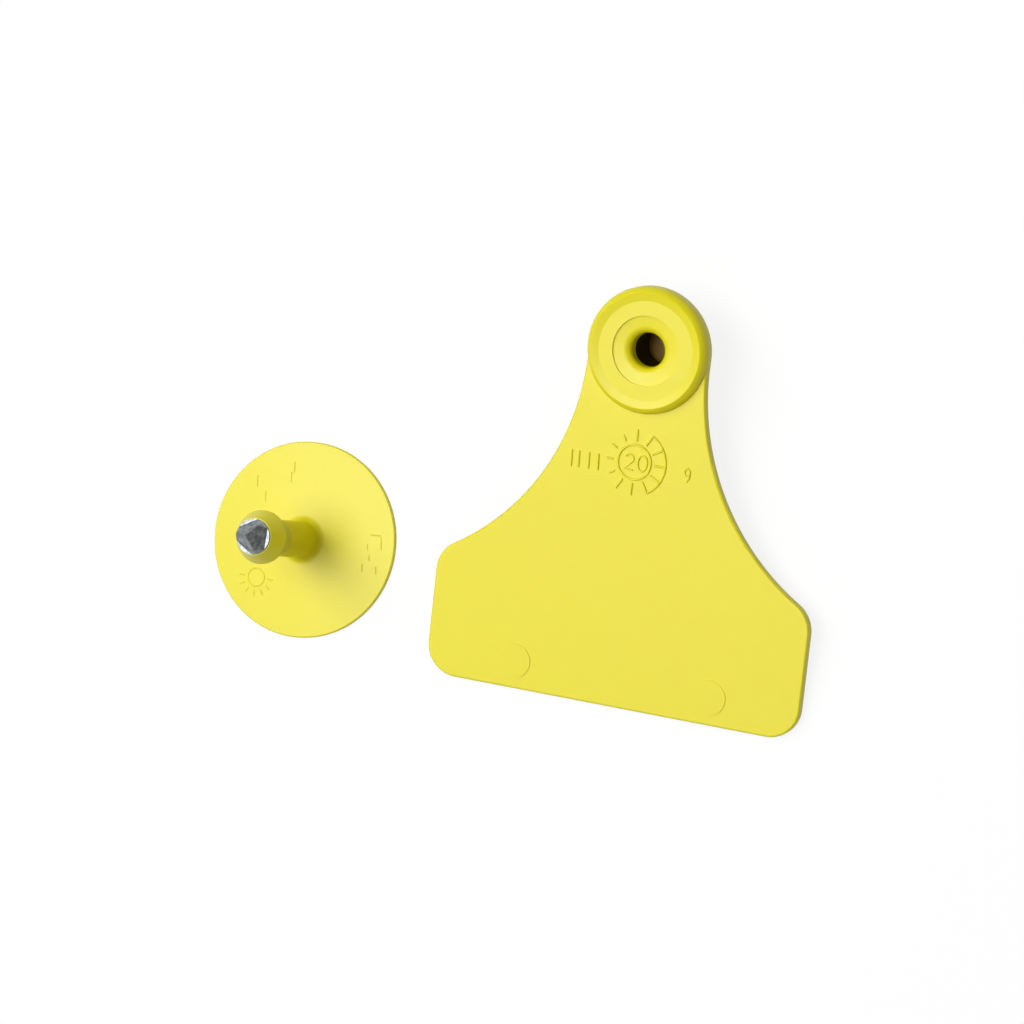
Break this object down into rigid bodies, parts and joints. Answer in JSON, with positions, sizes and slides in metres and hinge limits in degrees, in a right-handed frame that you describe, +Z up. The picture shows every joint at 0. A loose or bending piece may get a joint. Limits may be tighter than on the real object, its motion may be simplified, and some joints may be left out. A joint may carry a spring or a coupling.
{
  "type": "livestock ear tag",
  "caption": "Two-part yellow ear tag for cattle: a flared flag panel with a round funnel collar, and a disc stud whose post ends in a metal piercing tip.",
  "frame": {"origin": "on the surface the tag lies on, under the middle of the whole tag's box", "axes": "+X from the stud to the panel, +Y from the panel's straight bottom edge towards its collar, +Z up"},
  "size_m": [0.0922, 0.059, 0.0214],
  "materials": {
    "panel_yellow": "moulded flexible polyurethane, satin, bright yellow",
    "stud_yellow": "moulded flexible polyurethane, satin, bright yellow",
    "tip_metal": "ground and tumbled steel, dull grey"
  },
  "bodies": {
    "root": {"tag_panel": "panel_yellow", "stud_button": "stud_yellow", "piercing_tip": "tip_metal"}
  },
  "joints": []
}
